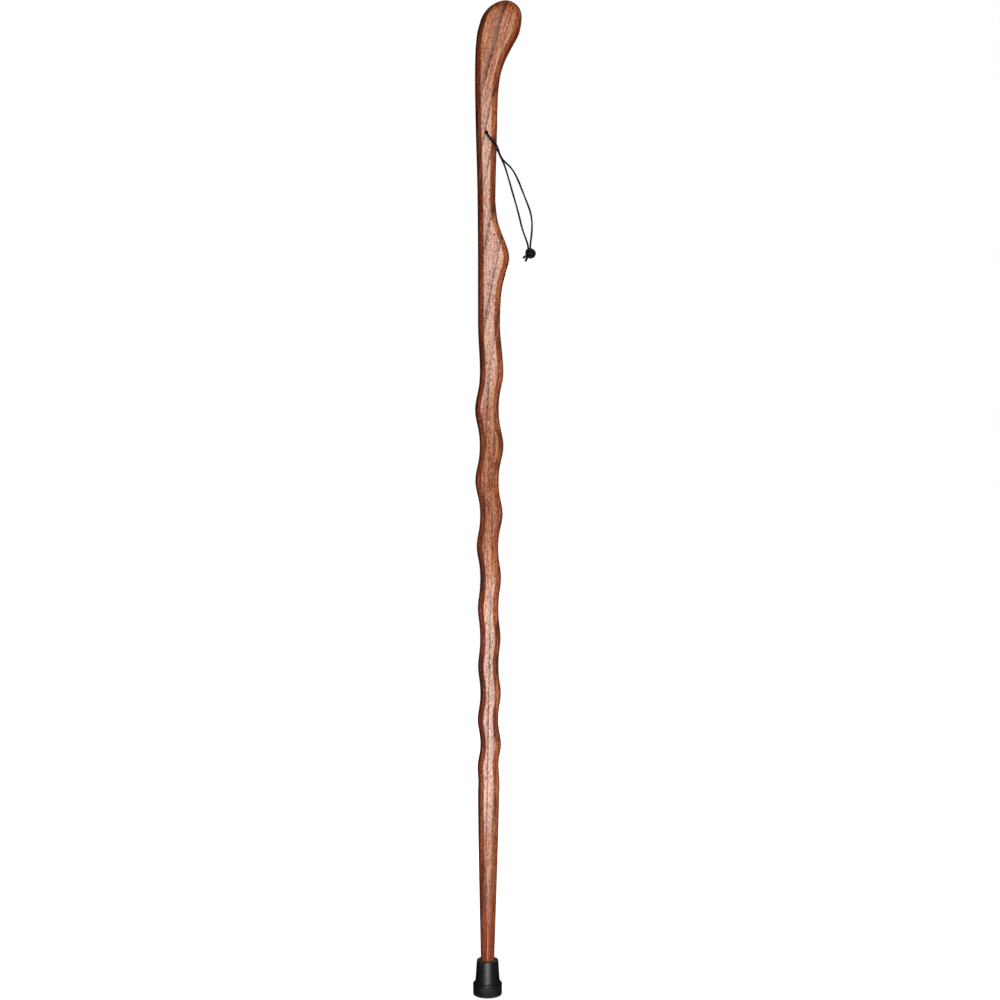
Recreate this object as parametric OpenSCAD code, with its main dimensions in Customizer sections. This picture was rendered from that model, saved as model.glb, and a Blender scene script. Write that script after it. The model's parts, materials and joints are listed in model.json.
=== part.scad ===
// Carved wood hiking staff with a wrist cord and a push-on rubber tip.
// Lengths are in millimetres. The staff stands along Z, with the middle of its sole at the origin.
// The thumb swell and the wrist cord are on the +X side, and the front face looks towards -Y.

/* [Staff] */
// Height of the whole staff, from the floor to the top of the head
staff_h = 1397; // [1250:1:1500]
// Thickness of the board that the staff is sawn from, front to back
board_t = 28.5; // [26:0.5:32]
// Radius that the long edges are rounded over to
edge_r = 10; // [8:0.5:12]

/* [Head] */
// Width across the head, at the foot of its rounded cap
head_w = 58; // [50:0.5:64]
// How far the middle of the head stands from the axis, towards the thumb side
head_lean = 18; // [12:0.5:22]
// Height of the rounded cap
cap_h = 33; // [26:0.5:40]
// How much further the top of the cap leans than its foot
cap_lean = 7.5; // [4:0.5:10]
// Length of the flare from the neck up to the foot of the cap
flare_run = 101; // [80:1:130]

/* [Grip] */
// Width of the neck under the head
neck_w = 32; // [29:0.5:36]
// Width in the middle of the grip
grip_w = 29.6; // [27:0.1:33]
// Width of the waist above the thumb swell
waist_w = 25.2; // [23:0.1:28]
// How far the middle of the grip stands from the axis, towards the back edge
grip_lean = 1.5; // [0:0.1:3]
// Length from the waist up to the neck
grip_run = 146; // [120:1:180]
// Reach of the thumb swell from the axis
swell_reach = 30.5; // [24:0.5:36]
// Length from the crest of the swell up to the waist
swell_top_run = 82; // [70:1:100]
// Length from the shaft up to the crest of the swell
swell_low_run = 92; // [75:1:110]

/* [Shaft] */
// Width just under the thumb swell
under_w = 31; // [28:0.5:34]
// Width of the upper waves
shaft_w = 32.3; // [29:0.1:35]
// Width of the lower waves
low_w = 28.8; // [26:0.1:32]
// Width at the ankle, where the waves end and the taper begins
ankle_w = 30; // [27:0.5:33]
// How far the middle of the shaft stands from the axis, towards the thumb side
shaft_lean = 2.4; // [0:0.1:4]
// Length of the taper from the tip up to the ankle
taper_run = 227; // [150:1:300]
// Diameter of the wood where it enters the tip
foot_d = 19; // [17:0.1:22]

/* [Waves] */
// How far the tallest wave swings to each side
wave_reach = 3.3; // [1:0.1:5]
// Length of one wave at the top
wave_pitch_top = 108; // [90:1:130]
// Length of one wave at the bottom
wave_pitch_low = 69; // [60:1:85]
// Length from under the swell down to the first crest
wave_rise_run = 68; // [50:1:90]
// Length from the ankle up to where the waves are full
wave_fade_run = 73; // [50:1:90]

/* [Cord] */
// Diameter of the lace
cord_d = 2.4; // [2:0.1:3]
// Diameter of the cross hole that it runs through
hole_d = 4; // [3.6:0.1:5]
// How far the cross hole lies under the top of the head
hole_drop = 188; // [170:1:210]
// Diameter of the lobes of the knot
knot_lobe_d = 7; // [6:0.1:8]

/* [Tip] */
// Height of the rubber tip
tip_h = 49; // [42:0.5:60]
// Diameter of the base band
base_d = 41; // [36:0.5:46]
// Height of the base band
base_h = 16; // [12:0.5:20]
// Height of the sloped shoulder above the band
shoulder_h = 3; // [2:0.5:5]
// Diameter of the neck at the shoulder
tip_neck_d = 34.4; // [30:0.2:35]
// Diameter of the rim
rim_d = 30.4; // [27:0.2:32]
// Thickness of the rubber under the washer
sole_t = 10; // [7:0.5:14]
// Depth of the tread grooves
groove_depth = 1.6; // [1:0.1:3]
// Width of a tread groove
groove_w = 2; // [1:0.1:2.5]
// Thickness of the steel washer in the socket
washer_t = 1.2; // [0.8:0.1:2]
// Diameter of the hole in the washer
washer_hole_d = 6; // [4:0.5:10]

/* [Hidden] */
$fn = 64;

// How far cuts run past the face that they open, and how far fused pieces reach into each other
overrun = 1;
// Room between the spigot and the socket, on the radius
socket_clear = 0.05;
// Room between the washer and the socket, on the radius
washer_clear = 0.3;
// Room between the shaft's lowest ring and the rim of the tip
rim_clear = 0.3;
// Step on the radius from the foot of the taper in to the spigot
spigot_step = 0.2;
// Least flat left between two rounded edges
flat_min = 0.3;
// Chamfer at both mouths of the cross hole
hole_chamfer = 0.8;
// Rounding of the rim, of the sole's edge and of the band's upper edge
rim_round = 1.6;
sole_round = 1.2;
band_round = 1;
// Chamfer at the mouth of the socket
mouth_chamfer = 1.2;
// How much narrower the band is at the sole than at its top, on the radius
band_draft = 0.3;

// Heights of the stations along the staff
head_z = staff_h - cap_h;
neck_z = head_z - flare_run;
waist_z = neck_z - grip_run;
swell_z = waist_z - swell_top_run;
under_z = swell_z - swell_low_run;
crest_z = under_z - wave_rise_run;
ankle_z = tip_h + taper_run;
calm_z = ankle_z + wave_fade_run;
wave_run = crest_z - calm_z;
ring_z = tip_h + rim_clear;
hole_z = staff_h - hole_drop;
seat_z = sole_t + washer_t;

spigot_d = foot_d - 2 * spigot_step;
socket_d = spigot_d + 2 * socket_clear;
washer_d = socket_d - 2 * washer_clear;

// Where the widths of the waves change, in shares of the length of the waves
low_end_share = 0.45;
high_start_share = 0.72;
// Where the grip is grip_w wide, in a share of the way from the waist up to the neck
grip_share = 0.6;
// How much of the shaft's lean is left at the ankle and under the swell
ankle_lean_share = 0.6;
under_lean_share = 0.85;

// Curves between two stations: shares of the way up and of the change in reach
rise_shares = [[0.36, 0.09], [0.55, 0.25], [0.73, 0.56], [0.83, 0.76], [0.92, 0.95]];
fall_shares = [[0.1, 0.05], [0.21, 0.19], [0.42, 0.54], [0.62, 0.82], [0.83, 0.95]];
flare_shares = [[0.17, 0.05], [0.34, 0.14], [0.5, 0.31], [0.67, 0.57], [0.84, 0.86], [0.92, 0.95]];
back_shares = [[0.3, -0.02], [0.5, 0.02], [0.67, 0.12], [0.84, 0.39], [0.92, 0.63]];
// Height of the waves: shares of the way up the waves and of the tallest wave
wave_shares = [[0, 0.62], [0.15, 0.52], [0.27, 0.43], [0.42, 0.55], [0.58, 0.85], [0.8, 1], [1, 1]];
// How much sharper the crests of the waves are than the hollows
crest_share = 0.12;
// Squareness of the cap seen from the side: 2 is an ellipse
cap_power = 3;
// How late the depth of the taper grows: 1 is a sine
taper_power = 1.3;
// Angle of the cap's last ring, and rings on the cap
cap_end_angle = 84;
cap_rings = 10;
// Points on each rounded edge of a ring
corner_points = 6;

// Smooth curve through a table of [place, value] rows
function row_under(table, place, i = 0) =
    i >= len(table) - 2 || place <= table[i + 1][0] ? i : row_under(table, place, i + 1);
function slope_at(table, i) =
    let (below = table[max(i - 1, 0)], above = table[min(i + 1, len(table) - 1)])
    (above[1] - below[1]) / (above[0] - below[0]);
function smooth(table, place) =
    let (
        i = row_under(table, place),
        run = table[i + 1][0] - table[i][0],
        u = (place - table[i][0]) / run,
        rise = table[i + 1][1] - table[i][1],
        start = slope_at(table, i) * run,
        end = slope_at(table, i + 1) * run
    )
    table[i][1] + start * u + (3 * rise - 2 * start - end) * u ^ 2 + (start + end - 2 * rise) * u ^ 3;
function between(from, to, shares) =
    [for (s = shares) [from[0] + s[0] * (to[0] - from[0]), from[1] + s[1] * (to[1] - from[1])]];
function share_of(low, high, place) = min(1, max(0, (place - low) / (high - low)));
function eased(u) = u ^ 2 * (3 - 2 * u);

// Reach of the staff's two edges from the axis, before the waves: half a width and a lean
function stations(side) = [
    [ring_z, foot_d / 2],
    [ankle_z, ankle_w / 2 + side * ankle_lean_share * shaft_lean],
    [calm_z, low_w / 2 + side * shaft_lean],
    [calm_z + low_end_share * wave_run, low_w / 2 + side * shaft_lean],
    [calm_z + high_start_share * wave_run, shaft_w / 2 + side * shaft_lean],
    [crest_z, shaft_w / 2 + side * shaft_lean],
    [under_z, under_w / 2 + side * under_lean_share * shaft_lean]
];
waist_row = [waist_z, waist_w / 2];
grip_row = [waist_z + grip_share * grip_run, grip_w / 2];
neck_row = [neck_z, neck_w / 2];
function leaning(row, side) = [row[0], row[1] - side * grip_lean];
under_row = stations(1)[6];
swell_row = [swell_z, swell_reach];
thumb_head_row = [head_z, head_w / 2 + head_lean];
back_head_row = [head_z, head_w / 2 - head_lean];

thumb_edge = concat(
    stations(1),
    between(under_row, swell_row, rise_shares),
    [swell_row],
    between(swell_row, leaning(waist_row, 1), fall_shares),
    [leaning(waist_row, 1), leaning(grip_row, 1), leaning(neck_row, 1)],
    between(leaning(neck_row, 1), thumb_head_row, flare_shares),
    [thumb_head_row]
);
back_edge = concat(
    stations(-1),
    [leaning(waist_row, -1), leaning(grip_row, -1), leaning(neck_row, -1)],
    between(leaning(neck_row, -1), back_head_row, back_shares),
    [back_head_row]
);
// Half the depth front to back: the board's, down to the ankle, and then in to the round foot
function half_depth(z) =
    foot_d / 2 + (board_t - foot_d) / 2 * sin(90 * share_of(ring_z, ankle_z, z) ^ taper_power);

// The waves: their length shrinks steadily on the way down, and both ends fade out
pitch_rate = (wave_pitch_top - wave_pitch_low) / wave_run;
function wave_turns(z) =
    z >= crest_z ? 0 : ln(wave_pitch_top / (wave_pitch_top - pitch_rate * (crest_z - z))) / pitch_rate;
function wave_fade(z) =
    eased(share_of(ankle_z, calm_z, z)) * (1 - eased(share_of(crest_z, under_z, z)));
function wave_height(z) = wave_reach * wave_fade(z) * smooth(wave_shares, share_of(calm_z, crest_z, z));
function wave(z, side) =
    wave_fade(z) == 0 ? 0
    : wave_height(z) * (cos(360 * wave_turns(z)) + side * crest_share * cos(720 * wave_turns(z)));

function thumb_reach(z) = smooth(thumb_edge, z) + wave(z, 1);
function back_reach(z) = smooth(back_edge, z) - wave(z, -1);
function middle(z) = (thumb_reach(z) - back_reach(z)) / 2;

// One ring of the staff: a rectangle of half_w by half_t with rounded corners
function ring(x, z, half_w, half_t) =
    let (r = min(edge_r, half_w - flat_min, half_t - flat_min))
    [for (quarter = [0:3], i = [0:corner_points - 1])
        let (
            angle = 90 * (quarter + i / (corner_points - 1)),
            side_x = quarter == 0 || quarter == 3 ? 1 : -1,
            side_y = quarter < 2 ? 1 : -1
        )
        [x + side_x * (half_w - r) + r * cos(angle), side_y * (half_t - r) + r * sin(angle), z]];
function body_ring(z) = ring(middle(z), z, (thumb_reach(z) + back_reach(z)) / 2, half_depth(z));
function cap_ring(angle) = ring(
    head_lean + cap_lean * sin(angle),
    head_z + cap_h * sin(angle),
    head_w / 2 * cos(angle),
    board_t / 2 * (1 - sin(angle) ^ cap_power) ^ (1 / cap_power)
);

// Rings in each stretch of the staff, from the tip up
function steps(from, to, count) = [for (i = [0:count - 1]) from + (to - from) * i / count];
ring_heights = concat(
    steps(ring_z, ankle_z, 9),
    steps(ankle_z, under_z, 84),
    steps(under_z, waist_z, 26),
    steps(waist_z, neck_z, 7),
    steps(neck_z, head_z, 14)
);

// A skin of triangles over a list of rings that all have as many points
function skin(rings_n, points_n) =
    [for (i = [0:rings_n - 2], j = [0:points_n - 1], half = [0, 1])
        let (a = i * points_n + j, b = i * points_n + (j + 1) % points_n)
        half == 0 ? [a, a + points_n, b + points_n] : [a, b + points_n, b]];

module wood_body() {
    rings = concat(
        [for (z = ring_heights) body_ring(z)],
        [for (i = [0:cap_rings]) cap_ring(cap_end_angle * i / cap_rings)]
    );
    points_n = len(rings[0]);
    points = concat([for (r = rings) each r], [[head_lean + cap_lean, 0, staff_h]]);
    top = len(points) - 1;
    last = top - points_n;
    polyhedron(
        points,
        concat(
            [[for (j = [0:points_n - 1]) j]],
            skin(len(rings), points_n),
            [for (j = [0:points_n - 1]) [last + j, top, last + (j + 1) % points_n]]
        ),
        convexity = 8
    );
}

hole_at = [middle(hole_z), 0, hole_z];

module cross_hole() {
    mouth = hole_chamfer + overrun;
    translate(hole_at) {
        rotate([90, 0, 0]) cylinder(d = hole_d, h = board_t + 2 * overrun, center = true);
        for (turn = [90, -90])
            rotate([turn, 0, 0])
                translate([0, 0, board_t / 2 - hole_chamfer])
                    cylinder(d1 = hole_d, d2 = hole_d + 2 * mouth, h = mouth);
    }
}

// The staff itself: one carved length of wood, round at the foot and drilled for the cord
module wood_shaft() {
    color([0.62, 0.34, 0.22])
        difference() {
            union() {
                wood_body();
                translate([0, 0, seat_z]) cylinder(d = spigot_d, h = ring_z + overrun - seat_z);
            }
            cross_hole();
        }
}

// Routes of the lace, from the middle of the cross hole: out of a mouth, round the edge, down to the knot
front_route = [
    [0, 0, 0], [0, -5, 0], [0, -9, 0], [0, -11, 0], [0.1, -12.9, -0.2], [0.4, -14.6, -0.9],
    [1, -15.9, -2.2], [1.7, -16.7, -3.7], [2.9, -17.1, -5.4], [5, -17.1, -7.9], [7.7, -16.5, -10.7],
    [10.7, -15.1, -13.7], [13.4, -12.6, -16.6], [15.4, -9.6, -19.7], [16.9, -6.8, -23.3],
    [18.4, -4.4, -27.6], [20.5, -2.8, -32],
    [23.2, -1.9, -36], [28, -1.5, -40.5], [34, -1.5, -46.5], [39.5, -1.5, -54.5], [44, -1.5, -63.5],
    [47.6, -1.5, -72], [50.7, -1.5, -80], [54, -1.5, -88.5], [57.5, -1.5, -97.5], [60.7, -1.5, -106],
    [62.7, -1.5, -114], [63.8, -1.5, -122], [64, -1.5, -131], [63.5, -1.4, -139], [62.6, -1.2, -147],
    [61.8, -1, -154], [61.4, -1, -161]
];
back_route = [
    [0, 0, 0], [0, 5, 0], [0, 9, 0], [0, 11, 0], [0.1, 12.9, -0.2], [0.4, 14.6, -0.9],
    [1, 15.9, -2.2], [1.7, 16.7, -3.7], [2.9, 17.1, -5.4], [5, 17.1, -7.9], [7.7, 16.5, -10.7],
    [10.7, 15.1, -13.7], [13.4, 12.6, -16.6], [15.4, 9.6, -19.7], [16.9, 6.8, -23.3],
    [18.4, 4.4, -27.6], [20.5, 2.8, -32],
    [22.3, 1.9, -36], [24.4, 1.5, -40.5], [26.7, 1.5, -47], [29.2, 1.5, -55], [31.7, 1.5, -63.5],
    [34.1, 1.5, -72], [36.5, 1.5, -80.5], [39, 1.5, -89], [41.5, 1.5, -97.5], [43.8, 1.5, -106],
    [46, 1.5, -114.5], [48, 1.5, -123], [50.1, 1.5, -131], [52.8, 1.4, -139.5], [55.8, 1.2, -147.5],
    [58, 1, -154.5], [59, 1, -161]
];
// The knot lies here, from the middle of the cross hole, with its lobes about it and two cut tails
knot_at = [61.8, 0, -166.5];
lobes = [[-3.9, 0, 1.5], [4, -0.5, 0], [1, 0.5, -2.8], [-1.5, 0, 3.4]];
front_tail_route = [[58, -1.3, -168], [55.5, -1.6, -170.5], [53.2, -1.8, -172.6], [51, -2, -174.2]];
back_tail_route = [[59.5, 1.3, -170], [58, 1.5, -173], [56.4, 1.7, -175.8], [54.6, 1.8, -178.2]];
cord_sides = 8;

// A tube of cord_sides along a list of points, with its rings square to the route
function unit(v) = v / norm(v);
function across(v, along) = unit(v - (v * along) * along);
function heading(route, i) = unit(route[min(i + 1, len(route) - 1)] - route[max(i - 1, 0)]);
function tube_rings(route, d, first) = [
    for (i = 0, side = across(first, heading(route, 0)); i < len(route);
         i = i + 1, side = i < len(route) ? across(side, heading(route, i)) : side)
        let (up = cross(heading(route, i), side))
        [for (j = [0:cord_sides - 1])
            let (angle = 360 * j / cord_sides)
            route[i] + d / 2 * (cos(angle) * side + sin(angle) * up)]
];

module tube(route, d) {
    rings = tube_rings(route, d, [0.1, 0.1, 1]);
    points = [for (r = rings) each r];
    last = len(points) - cord_sides;
    polyhedron(
        points,
        concat(
            [[for (j = [0:cord_sides - 1]) j]],
            skin(len(rings), cord_sides),
            [[for (j = [cord_sides - 1:-1:0]) last + j]]
        ),
        convexity = 6
    );
}

module lace(route) {
    color([0.12, 0.11, 0.11]) translate(hole_at) tube(route, cord_d);
}

module cord_front_strand() lace(front_route);

module cord_back_strand() lace(back_route);

module cord_knot() {
    color([0.14, 0.13, 0.13])
        translate(hole_at) {
            translate(knot_at)
                hull()
                    for (at = lobes)
                        translate(at) sphere(d = knot_lobe_d, $fn = 20);
            tube(front_tail_route, cord_d);
            tube(back_tail_route, cord_d);
        }
}

// Points on a quarter round of radius r about a centre, in the half plane of a turned piece
function quarter_round(centre, r, from, count = 5) =
    [for (i = [0:count]) centre + r * [cos(from + 90 * i / count), sin(from + 90 * i / count)]];

// Places of the tread grooves, in shares of the radius of the sole
groove_shares = [0.34, 0.57, 0.8];

module rubber_tip() {
    sole_r = base_d / 2 - band_draft;
    grooves = [for (s = groove_shares)
        let (r = s * sole_r)
        each [
            [r - groove_w / 2, 0], [r - groove_w / 2, groove_depth],
            [r + groove_w / 2, groove_depth], [r + groove_w / 2, 0]
        ]];
    profile = concat(
        [[0, 0]],
        grooves,
        quarter_round([sole_r - sole_round, sole_round], sole_round, -90),
        quarter_round([base_d / 2 - band_round, base_h - band_round], band_round, 0, 3),
        [[tip_neck_d / 2, base_h + shoulder_h]],
        quarter_round([rim_d / 2 - rim_round, tip_h - rim_round], rim_round, 0),
        [
            [socket_d / 2 + mouth_chamfer, tip_h], [socket_d / 2, tip_h - mouth_chamfer],
            [socket_d / 2, sole_t], [0, sole_t]
        ]
    );
    color([0.1, 0.1, 0.1]) rotate_extrude() polygon(profile);
}

module tip_washer() {
    color([0.7, 0.71, 0.73])
        translate([0, 0, sole_t])
            difference() {
                cylinder(d = washer_d, h = washer_t);
                translate([0, 0, -overrun]) cylinder(d = washer_hole_d, h = washer_t + 2 * overrun);
            }
}

wood_shaft();
cord_front_strand();
cord_back_strand();
cord_knot();
rubber_tip();
tip_washer();
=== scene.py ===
# %% [markdown]
# # A carved hiking staff
#
# The staff is one length of carved wood. A thin lace goes through a hole in its grip and hangs as a wrist
# loop, and a rubber tip is pushed on its foot. The CAD model holds the true sizes, so this lesson loads it
# as a fixed frame and models each piece again over it, as a finer mesh with its own finish. Sizes and
# places are read from the frame where it has them, so every piece lands where the real one sits.

# %% Load the frame
import json
import math

import bmesh
import bpy
from mathutils import Matrix, Vector, geometry, noise


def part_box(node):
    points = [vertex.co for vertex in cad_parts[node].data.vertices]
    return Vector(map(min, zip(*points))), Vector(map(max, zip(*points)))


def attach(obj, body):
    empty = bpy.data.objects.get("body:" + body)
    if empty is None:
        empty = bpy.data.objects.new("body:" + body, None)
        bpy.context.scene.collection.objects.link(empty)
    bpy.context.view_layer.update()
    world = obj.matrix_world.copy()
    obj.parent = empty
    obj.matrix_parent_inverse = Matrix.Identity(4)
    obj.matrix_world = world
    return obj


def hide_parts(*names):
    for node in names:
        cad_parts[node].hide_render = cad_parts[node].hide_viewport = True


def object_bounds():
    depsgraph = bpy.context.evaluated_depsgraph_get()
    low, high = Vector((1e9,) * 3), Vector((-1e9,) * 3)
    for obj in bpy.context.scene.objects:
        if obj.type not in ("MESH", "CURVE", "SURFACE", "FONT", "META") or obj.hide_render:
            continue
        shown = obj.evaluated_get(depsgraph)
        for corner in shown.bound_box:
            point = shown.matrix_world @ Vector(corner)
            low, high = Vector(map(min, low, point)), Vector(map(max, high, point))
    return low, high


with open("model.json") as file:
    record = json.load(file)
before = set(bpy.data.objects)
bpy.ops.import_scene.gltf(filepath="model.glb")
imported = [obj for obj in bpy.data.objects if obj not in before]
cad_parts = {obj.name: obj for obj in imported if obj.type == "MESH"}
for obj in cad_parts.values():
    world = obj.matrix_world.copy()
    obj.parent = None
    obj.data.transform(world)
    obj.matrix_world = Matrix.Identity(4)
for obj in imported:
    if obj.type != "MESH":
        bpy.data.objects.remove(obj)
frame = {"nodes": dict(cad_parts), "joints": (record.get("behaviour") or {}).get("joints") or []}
cad_low, cad_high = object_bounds()
joints = {joint["name"]: joint for joint in frame["joints"]}
scene = bpy.context.scene
print("CAD box:", [round(length, 4) for length in cad_high - cad_low], "metres")

# %% [markdown]
# ## The camera
#
# The picture was taken level, from in front of the middle of the staff, and the staff fills it from top to
# bottom. The ring of the tip is seen from a little above, which tells how near the camera stood: a longer
# lens from further away would flatten that ring to a line. So the distance is chosen first, and the lens
# follows from the width that the picture spans at the staff.

# %% Place the camera
picture_side = 1.407
camera_distance = 2.05
camera_side_step = 0.0175
camera_height = 0.695

camera_data = bpy.data.cameras.new("level_camera")
camera_data.lens = camera_data.sensor_width * camera_distance / picture_side
camera = bpy.data.objects.new("level_camera", camera_data)
camera.location = (camera_side_step, -camera_distance, camera_height)
camera.rotation_euler.x = math.radians(90)
scene.collection.objects.link(camera)
scene.camera = camera
scene.view_settings.view_transform = "Standard"
print("lens:", round(camera_data.lens, 1), "mm")

# %% [markdown]
# ## From bmesh to piece
#
# Every piece ends the same way: its mesh is written into an object at the origin, it is told which body it
# moves with, and the CAD solids it stands for are hidden. Faces are shaded smooth, and only edges that
# really turn a corner are marked sharp.

# %% A helper that finishes a piece
crease_angle = math.radians(38)


def mark_creases(mesh):
    """Shades a mesh smooth, apart from the edges that turn a corner."""
    bm = bmesh.new()
    bm.from_mesh(mesh)
    for face in bm.faces:
        face.smooth = True
    for edge in bm.edges:
        edge.smooth = edge.calc_face_angle(0) < crease_angle
    bm.to_mesh(mesh)
    bm.free()


def make_piece(name, bm, body, slot, *stands_for):
    """Turns a bmesh into an object that rides on a body and stands for CAD nodes."""
    mesh = bpy.data.meshes.new(name)
    bm.to_mesh(mesh)
    bm.free()
    mark_creases(mesh)
    piece = bpy.data.objects.new(name, mesh)
    scene.collection.objects.link(piece)
    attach(piece, body)
    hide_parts(*stands_for)
    print(name, "has", len(mesh.polygons), "faces")
    return piece


# %% [markdown]
# ## The lace
#
# The wrist loop is a black leather lace, about 2.4 mm square with soft corners. It passes through the hole
# in the grip, comes round the edge of the wood from both sides and hangs down to a knot. A curve with a
# bevel could make it, but a mesh swept ring by ring keeps a note of how far along the lace each point lies,
# and the leather's grain can then follow the lace through every bend.

# %% The route of each strand, from the middle of the hole
hole_middle = Vector(joints["cord_swing"]["pos_m"])

start_of_strand = [
    (0, 0, 0), (0, 0.005, 0), (0, 0.009, 0), (0, 0.011, 0), (0.0001, 0.0129, -0.0002),
    (0.0004, 0.0146, -0.0009), (0.001, 0.0159, -0.0022), (0.0017, 0.0167, -0.0037),
    (0.0029, 0.0171, -0.0054), (0.005, 0.0171, -0.0079), (0.0077, 0.0165, -0.0107),
    (0.0107, 0.0151, -0.0137), (0.0134, 0.0126, -0.0166), (0.0154, 0.0096, -0.0197),
    (0.0169, 0.0068, -0.0233), (0.0184, 0.0044, -0.0276), (0.0205, 0.0028, -0.032),
]
front_hang = [
    (0.0232, -0.0019, -0.036), (0.028, -0.0015, -0.0405), (0.034, -0.0015, -0.0465),
    (0.0395, -0.0015, -0.0545), (0.044, -0.0015, -0.0635), (0.0476, -0.0015, -0.072),
    (0.0507, -0.0015, -0.08), (0.054, -0.0015, -0.0885), (0.0575, -0.0015, -0.0975),
    (0.0607, -0.0015, -0.106), (0.0627, -0.0015, -0.114), (0.0638, -0.0015, -0.122),
    (0.064, -0.0015, -0.131), (0.0635, -0.0014, -0.139), (0.0626, -0.0012, -0.147),
    (0.0618, -0.001, -0.154), (0.0614, -0.001, -0.161),
]
back_hang = [
    (0.0223, 0.0019, -0.036), (0.0244, 0.0015, -0.0405), (0.0267, 0.0015, -0.047),
    (0.0292, 0.0015, -0.055), (0.0317, 0.0015, -0.0635), (0.0341, 0.0015, -0.072),
    (0.0365, 0.0015, -0.0805), (0.039, 0.0015, -0.089), (0.0415, 0.0015, -0.0975),
    (0.0438, 0.0015, -0.106), (0.046, 0.0015, -0.1145), (0.048, 0.0015, -0.123),
    (0.0501, 0.0015, -0.131), (0.0528, 0.0014, -0.1395), (0.0558, 0.0012, -0.1475),
    (0.058, 0.001, -0.1545), (0.059, 0.001, -0.161),
]
front_route = [hole_middle + Vector((x, -y, z)) for x, y, z in start_of_strand]
front_route += [hole_middle + Vector(point) for point in front_hang]
back_route = [hole_middle + Vector(point) for point in start_of_strand + back_hang]
print("points of the routes:", len(front_route), "and", len(back_route))

# %% Smooth a route into even steps
lace_step = 0.001
points_per_span = 12


def smooth_path(route, step):
    """One smooth curve through the points of a route, cut into steps of about the same length."""
    line = []
    for i, (here, after) in enumerate(zip(route, route[1:])):
        before = route[max(i - 1, 0)]
        beyond = route[min(i + 2, len(route) - 1)]
        handle = (after - here).length / 3
        leaving = here + (after - before).normalized() * handle
        arriving = after - (beyond - here).normalized() * handle
        line += geometry.interpolate_bezier(here, leaving, arriving, after, points_per_span)[:-1]
    line.append(route[-1])
    length = path_length(line)
    stride = length / round(length / step)
    path = [line[0].copy()]
    left = stride
    for a, b in zip(line, line[1:]):
        gone = 0
        while (b - a).length - gone >= left:
            gone += left
            path.append(a.lerp(b, gone / (b - a).length))
            left = stride
        left -= (b - a).length - gone
    path[-1] = line[-1].copy()
    return path


def path_length(path):
    """The length of a line through the points of a path."""
    return sum((b - a).length for a, b in zip(path, path[1:]))


front_path = smooth_path(front_route, lace_step)
back_path = smooth_path(back_route, lace_step)
print("front strand:", round(path_length(front_path), 4), "m, back:", round(path_length(back_path), 4), "m")

# %% Sweep the lace's rounded square along a path
lace_width = 0.0024
lace_corner = 0.0006
lace_twist = math.radians(2.2)


def extrude_ring(bm, edges):
    """Extrudes a ring of edges in its place, and returns the new points and the new edges."""
    grown = bmesh.ops.extrude_edge_only(bm, edges=edges)["geom"]
    new_verts = [part for part in grown if isinstance(part, bmesh.types.BMVert)]
    new_edges = [part for part in grown if isinstance(part, bmesh.types.BMEdge)]
    return new_verts, new_edges


def sweep_lace(bm, path, width_share=1):
    """Adds a lace to bm: a square with bevelled corners, extruded one ring a step, turning slowly."""
    notes = bm.verts.layers.float_vector
    straight = notes.get("straight") or notes.new("straight")
    half_diagonal = width_share * lace_width / math.sqrt(2)
    square = bmesh.ops.create_circle(bm, cap_ends=True, segments=4, radius=half_diagonal)
    rounded = bmesh.ops.bevel(
        bm, geom=square["verts"], offset=lace_corner, affect="VERTICES", segments=2, profile=0.5,
        material=-1,
    )
    ring = rounded["verts"]
    first_face = ring[0].link_faces[0]
    for vert in ring:
        vert[straight] = vert.co
    heading = (path[1] - path[0]).normalized()
    first_turn = Vector((0, 0, 1)).rotation_difference(heading).to_matrix()
    bmesh.ops.rotate(bm, verts=ring, cent=(0, 0, 0), matrix=first_turn)
    bmesh.ops.translate(bm, verts=ring, vec=path[0])
    edges = list(first_face.edges)
    last = len(path) - 1
    for i in range(1, len(path)):
        ring, edges = extrude_ring(bm, edges)
        new_heading = (path[min(i + 1, last)] - path[i - 1]).normalized()
        turn = heading.rotation_difference(new_heading).to_matrix()
        twist = Matrix.Rotation(lace_twist, 3, new_heading)
        bmesh.ops.translate(bm, verts=ring, vec=path[i] - path[i - 1])
        bmesh.ops.rotate(bm, verts=ring, cent=path[i], matrix=twist @ turn)
        heading = new_heading
        for vert in ring:
            vert[straight].z += (path[i] - path[i - 1]).length
    bmesh.ops.holes_fill(bm, edges=edges, sides=0)


def make_strand(name, path, node):
    """One strand of the wrist loop, which rides on the loop's body."""
    bm = bmesh.new()
    sweep_lace(bm, path)
    bmesh.ops.recalc_face_normals(bm, faces=bm.faces)
    return make_piece(name, bm, "wrist_loop", "lace", node)


front_lace = make_strand("front_lace", front_path, "cord_front_strand")
back_lace = make_strand("back_lace", back_path, "cord_back_strand")
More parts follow.
